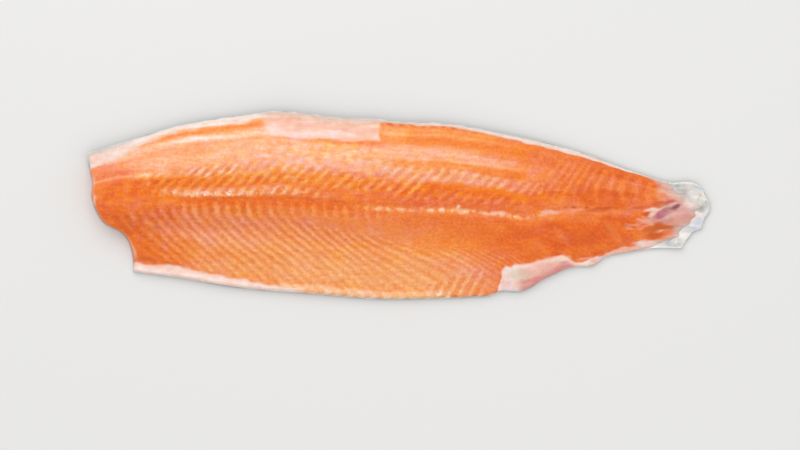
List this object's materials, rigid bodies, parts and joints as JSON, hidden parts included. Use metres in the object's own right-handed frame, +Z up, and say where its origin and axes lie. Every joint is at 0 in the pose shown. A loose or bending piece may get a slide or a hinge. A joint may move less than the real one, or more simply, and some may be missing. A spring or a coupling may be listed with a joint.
{
  "type": "raw salmon fillet",
  "caption": "Raw side of salmon lying skin side down, head end square, tail tapering, belly flap trimmed off: a food prop to cut, carry, season or serve.",
  "frame": {"origin": "middle of the fillet's outline, on the surface it lies on", "axes": "+X towards the tail, +Y towards the back of the fish, +Z up out of the flesh side"},
  "size_m": [0.6, 0.1812, 0.0317],
  "materials": {
    "flesh": "moist raw salmon, orange muscle with pale fat lines, soft wet sheen",
    "skin": "silver-grey salmon skin with fine scales, white along the cut edges"
  },
  "bodies": {
    "root": {"fillet": "flesh"}
  },
  "joints": []
}
